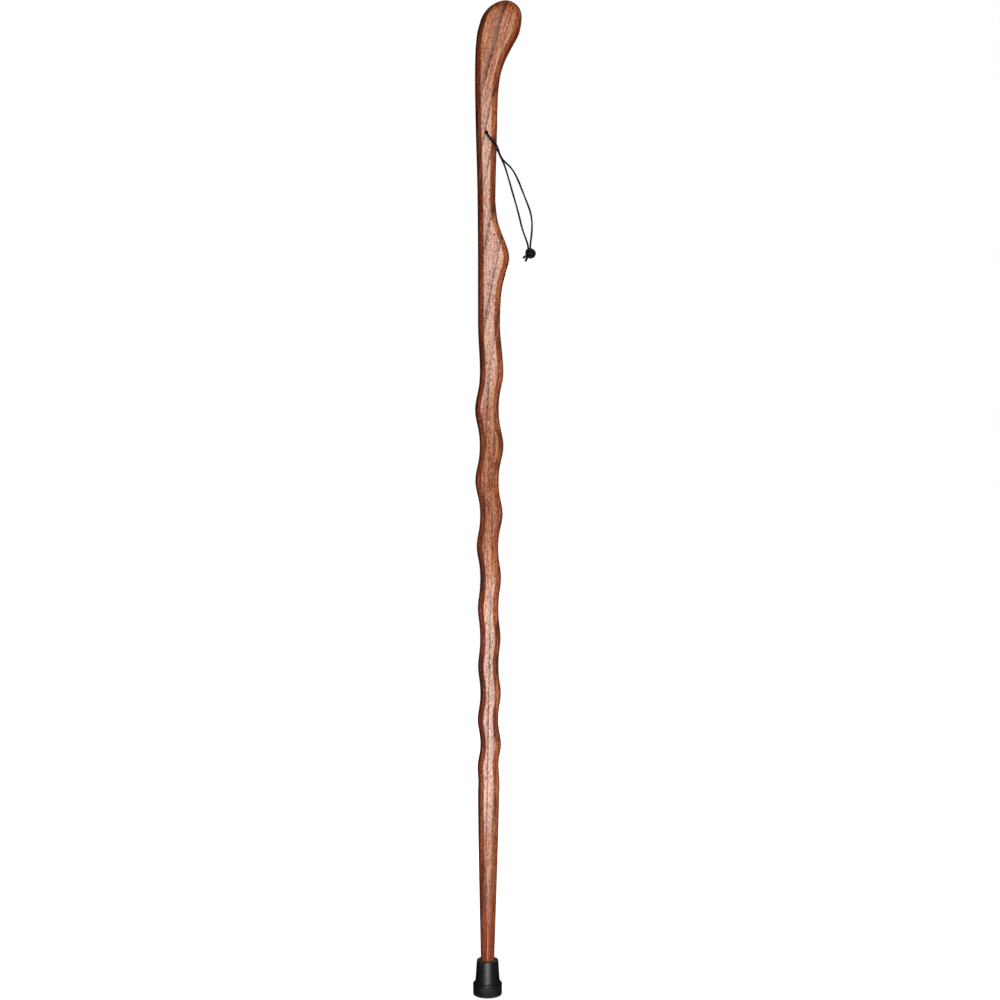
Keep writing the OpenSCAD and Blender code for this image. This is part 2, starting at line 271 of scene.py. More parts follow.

# %% [markdown]
# ## The knot
#
# Both strands go into one overhand knot, tied in the doubled lace and drawn up with a second turn, and
# come out as two cut tails. A lump would do from across the room, but the turns of the lace are what make
# it a knot. So the pair's middle line is drawn through the knot, a direction from strand to strand
# is carried along it, and each strand is swept on its own side. The lace is made a little thicker here, so
# that the turns press on each other and leave no gaps.

# %% The middle line of the pair, from the middle of the knot
knot_middle = hole_middle + Vector((0.0618, 0, -0.1665))
pair_route = [
    (-0.0016, 0, 0.0055), (-0.0004, 0.0004, 0.0026), (0.001, 0.0008, -0.0006), (0.0016, 0.0006, -0.0032),
    (-0.0006, 0, -0.0046), (-0.0034, -0.0002, -0.0028), (-0.0048, -0.0006, 0.0006),
    (-0.0036, -0.0022, 0.0041), (-0.0006, -0.003, 0.0048), (0.003, -0.002, 0.0036),
    (0.0048, 0.0004, 0.001), (0.0036, 0.0028, -0.0004), (0.0002, 0.0034, 0), (-0.003, 0.0022, 0.0004),
    (-0.0038, -0.0012, 0.0004), (-0.0016, -0.0036, 0), (0.0018, -0.0036, -0.0004),
    (0.0042, -0.001, -0.0014), (0.0034, 0.0024, -0.0026), (0.0002, 0.0032, -0.0028),
    (-0.0026, 0.0018, -0.0026), (-0.0036, -0.0012, -0.0028), (-0.0046, -0.0022, -0.0036),
]
front_tail = [(-0.0063, -0.0022, -0.0046), (-0.0086, -0.002, -0.0061), (-0.0108, -0.002, -0.0077)]
back_tail = [(-0.0047, -0.0006, -0.0062), (-0.0058, 0.0009, -0.009), (-0.0072, 0.0018, -0.0117)]
pair_gap = 0.0024
knot_fullness = 1.16
knot_width_share = 1.2
print("points of the knot:", len(pair_route))

# %% Sweep both strands of the knot
knot_step = 0.0006
knot_top = Vector(pair_route[0])
pair_points = [knot_top + (Vector(point) - knot_top) * knot_fullness for point in pair_route]
pair_path = smooth_path([knot_middle + point for point in pair_points], knot_step)
beside = (front_path[-1] - back_path[-1]).normalized()
front_turns = [front_path[-1]]
back_turns = [back_path[-1]]
pair_heading = (pair_path[1] - pair_path[0]).normalized()
for i in range(2, len(pair_path)):
    turned_heading = (pair_path[i] - pair_path[i - 1]).normalized()
    beside.rotate(pair_heading.rotation_difference(turned_heading))
    pair_heading = turned_heading
    front_turns.append(pair_path[i] + beside * pair_gap / 2)
    back_turns.append(pair_path[i] - beside * pair_gap / 2)
front_turns += [knot_middle + Vector(point) for point in front_tail]
back_turns += [knot_middle + Vector(point) for point in back_tail]
knot_bm = bmesh.new()
for turns in (front_turns, back_turns):
    sweep_lace(knot_bm, smooth_path(turns, knot_step), knot_width_share)
bmesh.ops.recalc_face_normals(knot_bm, faces=knot_bm.faces)
lace_knot = make_piece("lace_knot", knot_bm, "wrist_loop", "lace", "cord_knot")

wood_low, wood_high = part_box("wood_shaft")
print("the loop hangs from", round(hole_middle.z, 3), "m down to", round(knot_middle.z, 3), "m")

# %% [markdown]
# ## The carved wood
#
# The staff was sawn from a board to a wavy outline, and its four long edges were rounded over with a
# cutter, so it has a flat front, a flat back and soft sides. Low down it is turned to a round foot that
# goes into the tip. The CAD solid has a ring of points every few millimetres. Here those rings are read
# back as rows of four numbers, smoothed, and lofted again with many more points, because the soft edges
# carry the highlights and any facet would show in them.

# %% Read the outline from the CAD node
height_digits = 5
full_ring = 20

tip_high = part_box("rubber_tip")[1]
points_at_height = {}
for vertex in frame["nodes"]["wood_shaft"].data.vertices:
    level = round(vertex.co.z, height_digits)
    points_at_height.setdefault(level, set()).add(vertex.co.copy().freeze())

outline = []
for level in sorted(points_at_height):
    ring_points = points_at_height[level]
    if len(ring_points) >= full_ring and level > tip_high.z:
        low_x = min(point.x for point in ring_points)
        high_x = max(point.x for point in ring_points)
        outline.append(Vector((level, low_x, high_x, max(point.y for point in ring_points))))
top_height = max(points_at_height)
top_point = next(iter(points_at_height[top_height]))
outline.append(Vector((top_height, top_point.x, top_point.x, 0)))
print(len(outline), "rows from", round(outline[0][0], 4), "to", round(top_height, 4), "m")

# %% Smooth the rows
row_step = 0.002
spigot_chamfer = 0.0008
spigot_row_shares = (0.4, 0.55, 0.7, 0.85)


def smooth_rows(given, step):
    """Rows every step along the outline, on a smooth curve through the given ones."""
    smoothed = []
    for i, (here, after) in enumerate(zip(given, given[1:])):
        before = given[max(i - 1, 0)]
        beyond = given[min(i + 2, len(given) - 1)]
        span = (after - here).length
        leaving = (after - before) * span / max((after - before).length, span)
        arriving = (beyond - here) * span / max((beyond - here).length, span)
        count = max(1, round(span / step))
        for k in range(count):
            t = k / count
            smoothed.append(
                here * (2 * t**3 - 3 * t**2 + 1)
                + leaving * (t**3 - 2 * t**2 + t)
                + after * (3 * t**2 - 2 * t**3)
                + arriving * (t**3 - t**2)
            )
    return smoothed


spigot_ring = points_at_height[round(wood_low.z, height_digits)]
spigot_radius = -min(point.x for point in spigot_ring)
spigot_rows = [(wood_low.z, spigot_radius - spigot_chamfer), (wood_low.z + spigot_chamfer, spigot_radius)]
spigot_rows += [(tip_high.z * height_share, spigot_radius) for height_share in spigot_row_shares]
spigot_rows += [(outline[0][0], spigot_radius)]
rows = [Vector((level, -radius, radius, radius)) for level, radius in spigot_rows]
rows += smooth_rows(outline, row_step)
print(len(rows), "rows after smoothing")

# %% The section of the staff at one row
edge_radius = 0.01
arc_points = 9
flat_points = 2
quarter_points = arc_points + flat_points
quarter_turn = math.radians(90)
arc_step = math.radians(10)
arc_from = arc_step / 2
flat_step = arc_step / (flat_points + 1)
corner_signs = [(1, 1), (-1, 1), (-1, -1), (1, -1)]


def section_point(column, row):
    """The place of one column on a row."""
    level, low_x, high_x, half_depth = row
    half_width = (high_x - low_x) / 2
    radius = min(edge_radius, half_width, half_depth)
    quarter, k = divmod(column, quarter_points)
    past_arc = max(0, k - arc_points + 1)
    next_corner = Vector(corner_signs[(quarter + 1) % len(corner_signs)])
    corner = Vector(corner_signs[quarter]).lerp(next_corner, past_arc / (flat_points + 1))
    angle = quarter_turn * quarter + arc_from + arc_step * min(k, arc_points - 1) + flat_step * past_arc
    x = (low_x + high_x) / 2 + corner.x * (half_width - radius) + radius * math.cos(angle)
    y = corner.y * (half_depth - radius) + radius * math.sin(angle)
    return Vector((x, y, level))


print("points round the section:", len(corner_signs) * quarter_points)

# %% Loft the staff
hand_wobble = 0.00012
wobble_stretch = Vector((45, 45, 16))

wood_bm = bmesh.new()
column_of = wood_bm.verts.layers.int.new("column")
side_of = wood_bm.verts.layers.float.new("side")
shade_of = wood_bm.verts.layers.float.new("shade")
first_circle = bmesh.ops.create_circle(
    wood_bm, cap_ends=True, segments=len(corner_signs) * quarter_points, radius=spigot_radius
)
wood_ring = first_circle["verts"]
round_the_axis = sorted(wood_ring, key=lambda vert: math.atan2(vert.co.y, vert.co.x) % math.tau)
for column, vert in enumerate(round_the_axis):
    vert[column_of] = column
open_edges = list(wood_ring[0].link_faces[0].edges)
for row in rows:
    if row is not rows[0]:
        wood_ring, open_edges = extrude_ring(wood_bm, open_edges)
    for vert in wood_ring:
        vert.co = section_point(vert[column_of], row)
        if row[0] > tip_high.z:
            outward = Vector((vert.co.x - (row[1] + row[2]) / 2, vert.co.y, 0)).normalized()
            vert.co += outward * noise.noise(vert.co * wobble_stretch) * hand_wobble
last_ring = extrude_ring(wood_bm, open_edges)[0]
bmesh.ops.pointmerge(wood_bm, verts=last_ring, merge_co=(top_point.x, 0, top_height))
bmesh.ops.recalc_face_normals(wood_bm, faces=wood_bm.faces)
print("the loft has", len(wood_bm.verts), "points")

# %% Note where the cutter went and which points face left
turned_top = 0.1
cutter_from = 0.25
shade_width = 0.5

wood_bm.normal_update()
for vert in wood_bm.verts:
    cutter_share = min(1, max(0, (vert.co.z - turned_top) / (cutter_from - turned_top)))
    vert[side_of] = (1 - abs(vert.normal.y)) * cutter_share
    # The share that faces left chooses the painted shade of the left edges in the wood's finish.
    vert[shade_of] = min(1, max(0, 0.5 - vert.normal.x / shade_width))
carved_staff = make_piece("carved_staff", wood_bm, "staff", "wood", "wood_shaft")

# %% Drill the cross hole
hole_radius = 0.002
mouth_chamfer = 0.0008
drill_overrun = 0.002
drill_steps = 32
merge_distance = 1e-6
drill_reach = wood_high.y + drill_overrun
straight_reach = wood_high.y - mouth_chamfer
cone_radius = hole_radius + drill_reach - straight_reach
drill_outline = [
    (0, -drill_reach), (cone_radius, -drill_reach), (hole_radius, -straight_reach),
    (hole_radius, straight_reach), (cone_radius, drill_reach), (0, drill_reach),
]

drill_bm = bmesh.new()
drill_verts = [drill_bm.verts.new(hole_middle + Vector((r, y, 0))) for r, y in drill_outline]
drill_edges = [drill_bm.edges.new(pair) for pair in zip(drill_verts, drill_verts[1:])]
bmesh.ops.spin(
    drill_bm, geom=drill_verts + drill_edges, cent=hole_middle, axis=(0, 1, 0), angle=math.tau,
    steps=drill_steps, use_merge=True,
)
bmesh.ops.remove_doubles(drill_bm, verts=drill_bm.verts, dist=merge_distance)
bmesh.ops.recalc_face_normals(drill_bm, faces=drill_bm.faces)
drill_mesh = bpy.data.meshes.new("drill")
drill_bm.to_mesh(drill_mesh)
drill_bm.free()
drill = bpy.data.objects.new("drill", drill_mesh)
scene.collection.objects.link(drill)
cut = carved_staff.modifiers.new("cross_hole", "BOOLEAN")
cut.operation = "DIFFERENCE"
cut.solver = "EXACT"
cut.object = drill
cut_staff = carved_staff.evaluated_get(bpy.context.evaluated_depsgraph_get())
drilled = bpy.data.meshes.new_from_object(cut_staff)
carved_staff.modifiers.clear()
carved_staff.data = drilled
bpy.data.objects.remove(drill)
mark_creases(drilled)
print("drilled staff has", len(drilled.polygons), "faces")

# %% [markdown]
# ## The rubber tip
#
# The tip is moulded in black rubber: a wide foot with a pebbled band and ringed sole, a sloped shoulder
# with a fine line under it, and a neck that narrows to a soft rim round the wood. It is round, so half of
# its section is drawn as one face, the corners of that face are rounded with a vertex bevel, and the
# outline is spun.

# %% Corners of the tip's section, each with its rounding
sole_inset = 0.0003
sole_radius = tip_high.x - sole_inset
band_top = 0.016
shoulder_top = 0.019
neck_radius = 0.0172
rim_radius = 0.0152
socket_radius = 0.00935
socket_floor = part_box("tip_washer")[0].z
mouth_slope = 0.0012
tread_depth = 0.0016
tread_half = 0.001
tread_shares = (0.34, 0.57, 0.8)
line_low = 0.0136
line_high = 0.0145
line_middle = (line_low + line_high) / 2
line_depth = 0.0005
line_lip = 0.0001
sharp = 0.0002
fine = 0.0003
band_round = 0.0009
sole_round = 0.0012
shoulder_round = 0.0014
rim_round = 0.0015

section = []
for tread_share in tread_shares:
    inner = sole_radius * tread_share - tread_half
    outer = sole_radius * tread_share + tread_half
    section += [((inner, 0), sharp), ((inner, tread_depth), sharp)]
    section += [((outer, tread_depth), sharp), ((outer, 0), sharp)]
section += [
    ((sole_radius, 0), sole_round), ((tip_high.x - line_lip, line_low), fine),
    ((tip_high.x - line_depth, line_middle), sharp), ((tip_high.x, line_high), fine),
    ((tip_high.x, band_top), band_round), ((neck_radius, shoulder_top), shoulder_round),
    ((rim_radius, tip_high.z), rim_round), ((socket_radius + mouth_slope, tip_high.z), fine),
    ((socket_radius, tip_high.z - mouth_slope), fine), ((socket_radius, socket_floor), fine),
]
print("corners of the section:", len(section))

# %% Round and spin the section
tip_steps = 96
corner_segments = 3
on_axis = 1e-9

tip_bm = bmesh.new()
axis_low = tip_bm.verts.new((0, 0, 0))
corner_verts = [tip_bm.verts.new((r, 0, z)) for (r, z), rounding in section]
axis_high = tip_bm.verts.new((0, 0, socket_floor))
tip_bm.faces.new([axis_low] + corner_verts + [axis_high])
for rounding in sorted({rounding for corner, rounding in section}):
    group = [vert for vert, (corner, size) in zip(corner_verts, section) if size == rounding]
    bmesh.ops.bevel(
        tip_bm, geom=group, offset=rounding, affect="VERTICES", segments=corner_segments, profile=0.5,
        material=-1,
    )
axis_edge = next(edge for edge in tip_bm.edges if all(abs(vert.co.x) < on_axis for vert in edge.verts))
bmesh.ops.delete(tip_bm, geom=list(tip_bm.faces), context="FACES_ONLY")
bmesh.ops.delete(tip_bm, geom=[axis_edge], context="EDGES")
bmesh.ops.spin(
    tip_bm, geom=tip_bm.verts[:] + tip_bm.edges[:], cent=(0, 0, 0), axis=(0, 0, 1), angle=math.tau,
    steps=tip_steps, use_merge=True,
)
bmesh.ops.remove_doubles(tip_bm, verts=tip_bm.verts, dist=merge_distance)
bmesh.ops.recalc_face_normals(tip_bm, faces=tip_bm.faces)
rubber_foot = make_piece("rubber_foot", tip_bm, "tip", "rubber", "rubber_tip")

# %% [markdown]
# ## Finishes
#
# Every finish is a small graph of nodes that reads the place on the object, so it runs through the piece
# like real wood or rubber does and needs no picture. A short helper keeps the graphs readable: each call
# adds one node and gives back its output, and plain numbers go straight onto the sockets.


# %% A helper for finishes
class Finish:
    """One procedural finish: each method adds a node and returns its output."""

    def __init__(self, name):
        self.material = bpy.data.materials.new(name)
        self.material.use_nodes = True
        self.nodes = self.material.node_tree.nodes
        self.links = self.material.node_tree.links
        self.shader = self.nodes["Principled BSDF"]
        self.place = self.node("TexCoord", {}).outputs["Object"]

    def feed(self, socket, value):
        if isinstance(value, bpy.types.NodeSocket):
            self.links.new(value, socket)
        else:
            socket.default_value = value

    def node(self, kind, inputs, **settings):
        made = self.nodes.new("ShaderNode" + kind)
        for setting, value in settings.items():
            setattr(made, setting, value)
        for socket, value in inputs.items():
            self.feed(made.inputs[socket], value)
        return made

    def surface(self, **values):
        """Sets the shader's own sockets, named with underscores for spaces."""
        for socket, value in values.items():
            self.feed(self.shader.inputs[socket.replace("_", " ")], value)

    def math(self, operation, *values):
        return self.node("Math", dict(enumerate(values)), operation=operation).outputs[0]

    def product(self, first, second):
        return self.math("MULTIPLY", first, second)

    def rest(self, share):
        """What is left of 1."""
        return self.math("SUBTRACT", 1, share)

    def parts(self, vector):
        return list(self.node("SeparateXYZ", {0: vector}).outputs)

    def vector_math(self, operation, *vectors):
        return self.node("VectorMath", dict(enumerate(vectors)), operation=operation).outputs

    def stretched(self, vector, scale):
        return self.vector_math("MULTIPLY", vector, scale)["Vector"]

    def distance(self, vector, along):
        """How far a place lies from the origin, counted only along the axes that are 1."""
        return self.vector_math("LENGTH", self.stretched(vector, along))["Value"]

    def attribute(self, name):
        return self.node("Attribute", {}, attribute_name=name).outputs

    def noise(self, vector, scale, detail=2, roughness=0.5):
        place = self.stretched(vector, scale)
        inputs = {"Vector": place, "Scale": 1, "Detail": detail, "Roughness": roughness}
        return self.node("TexNoise", inputs).outputs["Fac"]

    def sway(self, vector, scale, detail):
        """Noise that swings to both sides of zero."""
        return self.math("SUBTRACT", self.noise(vector, scale, detail), 0.5)

    def cells(self, vector, scale):
        """Distance to the nearest of many scattered points, for pores and pebbles."""
        inputs = {"Vector": self.stretched(vector, scale), "Scale": 1}
        return self.node("TexVoronoi", inputs).outputs["Distance"]

    def ease(self, value, low, high, to_low=0, to_high=1, curve="SMOOTHSTEP"):
        """Carries a value from one range to another, on a soft curve or a LINEAR one."""
        inputs = {0: value, 1: low, 2: high, 3: to_low, 4: to_high}
        return self.node("MapRange", inputs, interpolation_type=curve).outputs[0]

    def mix(self, share, first, second, blend="MIX"):
        made = self.node("Mix", {0: share, 6: first, 7: second}, data_type="RGBA", blend_type=blend)
        return made.outputs[2]

    def ramp(self, value, stops):
        made = self.node("ValToRGB", {0: value})
        elements = made.color_ramp.elements
        while len(elements) < len(stops):
            elements.new(0.5)
        for element, (position, colour) in zip(elements, stops):
            element.position = position
        for element, (position, colour) in zip(elements, stops):
            element.color = colour
        return made.outputs["Color"]

    def bump(self, height, depth):
        return self.node("Bump", {"Height": height, "Distance": depth}).outputs["Normal"]


def grey_stops(*stops):
    """Stops of a ramp that holds plain levels: pairs of a position and a level."""
    return [(position, (level, level, level, 1)) for position, level in stops]


def tint_stops(*stops):
    """Stops of a ramp that holds colours: a position, then red, green and blue."""
    return [(position, (red, green, blue, 1)) for position, red, green, blue in stops]


# %% [markdown]
# ## Stained wood
#
# The wood is ring-porous, like ash: each year begins with a band of open pores that drinks the red-brown
# stain and turns nearly black, and ends in dense pale wood. On the flat front these bands are long veins,
# sharp on one side and fading on the other, and they lean as the tree did. So the finish lays sheets of
# yearly growth through the whole staff, and the carving cuts them where it will. A ramp serves as a ruler
# that says at which places the sheets lie.

# %% Lay the sheets of growth through the staff
lean_low = 0.02
lean_high = 0.18
lean_start = 0.892
lean_blend = 0.17
head_lean = 0.06
head_lean_start = 1.27
head_lean_blend = 0.05
sheet_turn = -0.6
wander_scale = (30, 30, 5)
wander_size = 0.003
flicker_scale = (260, 260, 60)
flicker_size = 0.0014

wood = Finish("stained_wood")
across, depth, height = wood.parts(wood.place)


def height_above(start, blend):
    """How far a place lies above a height, easing in from zero."""
    return wood.math("SMOOTH_MAX", wood.math("SUBTRACT", height, start), 0, blend)


high_drift = wood.product(height_above(lean_start, lean_blend), lean_high)
drift = wood.math("MULTIPLY_ADD", height, lean_low, high_drift)
drift = wood.math("MULTIPLY_ADD", height_above(head_lean_start, head_lean_blend), head_lean, drift)
upright_x = wood.math("SUBTRACT", across, drift)
grain = wood.node("CombineXYZ", {0: upright_x, 1: depth, 2: height}).outputs[0]
into_wood = wood.math("SUBTRACT", depth, wood_low.y)
sheet = wood.math("MULTIPLY_ADD", into_wood, sheet_turn, upright_x)
sheet = wood.math("MULTIPLY_ADD", wood.sway(grain, wander_scale, detail=3), wander_size, sheet)
sheet = wood.math("MULTIPLY_ADD", wood.sway(grain, flicker_scale, detail=2), flicker_size, sheet)
print("the sheets lean by", lean_low, "at the foot and by", lean_low + lean_high, "above the middle")

# %% A ruler for the sheets: the place of each and how dark its vein is
sheets = [
    (-0.1385, 0.3), (-0.1195, 0.2), (-0.0985, 1), (-0.0838, 0.95), (-0.0703, 0.9), (-0.0511, 0.9),
    (-0.032, 1), (-0.0165, 0.95), (-0.0057, 1), (0.0023, 0.9), (0.0125, 0.8), (0.0245, 0.8), (0.0385, 0.7),
]
first_sheet = sheets[0][0]
last_sheet = sheets[-1][0]
sheet_span = last_sheet - first_sheet
years = len(sheets) - 1

positions = [(place - first_sheet) / sheet_span for place, darkness in sheets]
ruler_stops = grey_stops(*[(position, i / years) for i, position in enumerate(positions)])
dark_stops = grey_stops(*[(position, darkness) for position, (place, darkness) in zip(positions, sheets)])
along_ruler = wood.ease(sheet, first_sheet, last_sheet, curve="LINEAR")
in_year = wood.math("FRACT", wood.product(wood.ramp(along_ruler, ruler_stops), years))
print(len(sheets), "sheets of growth over", round(sheet_span, 3), "m")

# %% Turn the sheets into veins, pores and fibres
haze_stops = grey_stops((0, 0), (0.3, 0), (0.56, 0.25), (0.77, 0.65), (0.9, 1), (1, 1))
core_stops = grey_stops((0, 0), (0.74, 0), (0.85, 0.55), (0.93, 1), (1, 1))
calm_head_low = 1.262
calm_head_high = 1.3
calm_from_sheet = -0.0983
calm_to_sheet = -0.0973
patch_scale = (55, 55, 14)
dash_scale = (620, 620, 210)
fibre_scale = (1100, 1100, 90)
hatch_scale = (760, 760, 48)
streak_scale = (360, 360, 9)
grit_scale = (800, 800, 300)
pore_scale = (430, 430, 150)
pore_field_scale = (70, 70, 22)
pore_weight = 0.9

calm_height = wood.ease(height, calm_head_low, calm_head_high)
calm = wood.product(calm_height, wood.ease(sheet, calm_from_sheet, calm_to_sheet))
patchy = wood.ease(wood.noise(grain, patch_scale), 0.34, 0.58, 0.3, 1)
vein = wood.product(wood.ramp(along_ruler, dark_stops), patchy)
vein = wood.product(vein, wood.rest(calm))
haze = wood.product(wood.ramp(in_year, haze_stops), vein)
core = wood.product(wood.ramp(in_year, core_stops), vein)
dashes = wood.noise(grain, dash_scale, roughness=0.6)
core = wood.product(core, wood.ease(dashes, 0.42, 0.54, 0.3, 1))
fibres = wood.noise(grain, fibre_scale, detail=3, roughness=0.65)
hatch = wood.noise(grain, hatch_scale, roughness=0.6)
streaks = wood.noise(grain, streak_scale, detail=3, roughness=0.6)
grit = wood.noise(grain, grit_scale, detail=1)
pores = wood.rest(wood.ease(wood.cells(grain, pore_scale), 0.14, 0.4))
pore_field = wood.ease(wood.noise(grain, pore_field_scale), 0.36, 0.58, 0.35, 1)
pores = wood.product(pores, wood.math("MAXIMUM", pore_field, haze))
open_grain = wood.math("MAXIMUM", core, wood.product(pores, pore_weight))
print("veins, pores and fibres:", len(wood.nodes), "nodes so far")

# %% Colour of the wood
red_brown = (0.27, 0.058, 0.017, 1)
salmon = (0.48, 0.14, 0.055, 1)
pink = (0.55, 0.19, 0.1, 1)
tan = (0.7, 0.33, 0.15, 1)
cream = (0.84, 0.5, 0.31, 1)
deep_red = (0.2, 0.04, 0.013, 1)
foot_red = (0.66, 0.31, 0.19, 1)
pore_brown = (0.05, 0.018, 0.011, 1)
vein_grey = (0.15, 0.085, 0.07, 1)
foot_low = 0.06
foot_high = 0.21
cloud_scale = (26, 26, 5)
shaft_haze = 0.43
head_haze = 0.68
open_grain_weight = 0.94

clouds = wood.noise(grain, cloud_scale, detail=3)
colour = wood.ramp(streaks, [(0.36, red_brown), (0.45, salmon), (0.54, pink), (0.63, tan)])
colour = wood.mix(wood.ease(clouds, 0.42, 0.62, 0, 0.35), colour, red_brown)
colour = wood.mix(wood.ease(hatch, 0.5, 0.7, 0, 0.65), colour, red_brown)
colour = wood.mix(wood.ease(hatch, 0.46, 0.3, 0, 0.5), colour, tan)
colour = wood.mix(wood.ease(grit, 0.48, 0.33, 0, 0.4), colour, cream)
colour = wood.mix(wood.ease(height, foot_low, foot_high, 1, 0), colour, foot_red, blend="MULTIPLY")
colour = wood.mix(wood.ease(grit, 0.5, 0.68, 0, 0.6), colour, deep_red)
haze_weight = wood.ease(height, calm_head_low, calm_head_high, shaft_haze, head_haze)
colour = wood.mix(wood.product(haze, haze_weight), colour, vein_grey)
colour = wood.mix(wood.product(open_grain, open_grain_weight), colour, pore_brown)
print("colour of the flat front:", len(wood.nodes), "nodes so far")

# %% [markdown]
# ## Stain and painted shade on the edges
#
# The cutter that rounded the edges opened the ends of the fibres, and those drink more stain than the flat
# front does. So the edges are orange next to the front and dark further round. Shade is painted over that
# stain: the edges that face left, the head's right edge and, in part, the grip's right edge take darker
# copies of the tint, and the left tint holds a painted reflection, a lighter orange strip part way round. A
# few burls cross the edges, and dark wedges are painted on the right edge, one of them a painted shadow of
# the lace. The loft left two notes on every point, how far it turns to the side and whether it faces left.
# Ramps over the first give the tints, and the second chooses between them.

# %% Stain and painted shade on the rounded edges
# The stain tint of the right edges, the lit copy; the two copies below are painted shade.
right_edge_stops = tint_stops(
    (0, 1, 1, 1), (0.012, 1, 1, 1), (0.024, 0.94, 0.9, 0.66), (0.05, 0.7, 0.62, 0.54),
    (0.1, 0.78, 0.64, 0.54), (0.25, 0.82, 0.62, 0.5), (0.4, 0.6, 0.43, 0.36), (0.62, 0.4, 0.26, 0.19),
    (0.82, 0.32, 0.19, 0.13), (1, 0.7, 0.54, 0.44),
)
# A darker copy for the right edges of the head and grip, painted shade.
deep_shade_stops = tint_stops(
    (0, 1, 1, 1), (0.012, 1, 1, 1), (0.024, 0.9, 0.88, 0.6), (0.05, 0.6, 0.5, 0.4),
    (0.12, 0.62, 0.48, 0.38), (0.28, 0.5, 0.36, 0.28), (0.5, 0.34, 0.2, 0.15), (0.8, 0.26, 0.14, 0.1),
    (1, 0.6, 0.42, 0.34),
)
# A darker copy for edges that face left, painted shade; its lighter strip from 0.16 to 0.27 is a painted
# reflection.
left_stain_shade_sheen_stops = tint_stops(
    (0, 1, 1, 1), (0.012, 1, 1, 1), (0.035, 0.5, 0.29, 0.2), (0.08, 0.64, 0.35, 0.23),
    (0.16, 0.88, 0.45, 0.29), (0.27, 0.84, 0.43, 0.29), (0.44, 0.37, 0.19, 0.125), (0.6, 0.3, 0.15, 0.1),
    (0.8, 0.36, 0.18, 0.12), (1, 0.75, 0.52, 0.42),
)
# Heights where the right edge takes the painted shade: in part from the grip up, fully on the head.
deep_grip_low = 0.92
deep_grip_high = 1.02
deep_grip_share = 0.6
deep_head_low = 1.2
deep_head_high = 1.28

side = wood.attribute("side")["Fac"]
# Points that face left take the painted shade of the left tint, a little patchy.
painted_left_shade = wood.product(wood.attribute("shade")["Fac"], wood.ease(clouds, 0.3, 0.6, 0.7, 1))
grip_shade = wood.ease(height, deep_grip_low, deep_grip_high, 0, deep_grip_share)
head_shade = wood.ease(height, deep_head_low, deep_head_high)
painted_deep_shade = wood.math("MAXIMUM", grip_shade, head_shade)
right_edge = wood.mix(painted_deep_shade, wood.ramp(side, right_edge_stops), wood.ramp(side, deep_shade_stops))
edge_stain_and_shade = wood.mix(painted_left_shade, right_edge, wood.ramp(side, left_stain_shade_sheen_stops))
colour = wood.mix(1, colour, edge_stain_and_shade, blend="MULTIPLY")
print("stained edges:", len(wood.nodes), "nodes so far")

# %% Painted wedges and burls: the wedges as heights with their reach up and down
# Dark wedges painted on the right edge at these heights; the one at 1.192 m, where the lace crosses the
# edge, is a painted shadow of the lace.
wedges_and_lace_shadow = [(0.512, 0.018), (0.742, 0.016), (0.785, 0.018), (0.915, 0.024), (1.105, 0.018), (1.192, 0.014)]
wedge_darkness = 0.8
ragged_scale = (140, 140, 12)
ragged_size = 0.07
burl_scale = (34, 34, 13)
burl_darkness = 0.52

wedge_levels = []
for wedge_height, reach in wedges_and_lace_shadow:
    wedge_levels += [(wedge_height - reach, 0), (wedge_height, wedge_darkness), (wedge_height + reach, 0)]
wedge_stops = grey_stops(*[(level / cad_high.z, darkness) for level, darkness in wedge_levels])
ragged_height = wood.math("MULTIPLY_ADD", wood.sway(grain, ragged_scale, detail=3), ragged_size, height)
to_top = wood.ease(ragged_height, 0, cad_high.z, curve="LINEAR")
wedge = wood.product(wood.ramp(to_top, wedge_stops), wood.rest(painted_left_shade))
burls = wood.ease(wood.noise(grain, burl_scale), 0.54, 0.62, 0, burl_darkness)
darkening = wood.product(wood.math("MAXIMUM", wedge, burls), wood.ease(side, 0.015, 0.1))
colour = wood.mix(darkening, colour, pore_brown)
print(len(wedges_and_lace_shadow), "wedges on the right edge")

# %% Painted shade and bare wood in the hole, rubber marks on the foot and painted shade at the rim
hole_edge = hole_radius + mouth_chamfer
hole_fade = 0.0002
hole_shade = 0.85
scuff_and_shade_black = (0.022, 0.018, 0.016, 1)
scuff_and_shade_scale = (110, 110, 900)
# The marks reach a little above the rim; there the wood at the joint is painted darker as shade.
shade_above_rim = 0.001
scuff_and_shade_top = tip_high.z + shade_above_rim
scuff_and_shade_fade = 0.005

from_hole = wood.vector_math("SUBTRACT", wood.place, hole_middle)["Vector"]
in_hole = wood.ease(wood.distance(from_hole, (1, 0, 1)), hole_edge - hole_fade, hole_edge, 1, 0)
# The wall of the hole is painted dark as the shade inside it, and it is left without varnish.
colour = wood.mix(wood.product(in_hole, hole_shade), colour, pore_brown)
# Below the rim the marks are rubber scuffs on the wood; just above it they are painted shade.
tip_and_rim_shade = wood.ease(height, scuff_and_shade_top - scuff_and_shade_fade, scuff_and_shade_top, 1, 0)
scuff_and_shade_marks = wood.ease(wood.noise(wood.place, scuff_and_shade_scale, detail=3), 0.44, 0.6, 0.15, 0.8)
colour = wood.mix(wood.product(tip_and_rim_shade, scuff_and_shade_marks), colour, scuff_and_shade_black)
varnished = wood.rest(wood.math("MAXIMUM", in_hole, tip_and_rim_shade))
print("bare wood in the hole and below", round(scuff_and_shade_top, 4), "m")

# %% Gloss and grain of the wood
pore_thirst = -0.9
pore_dullness = 0.4
bare_roughness = 0.7
fibre_relief = 0.35
grain_depth = 0.00012

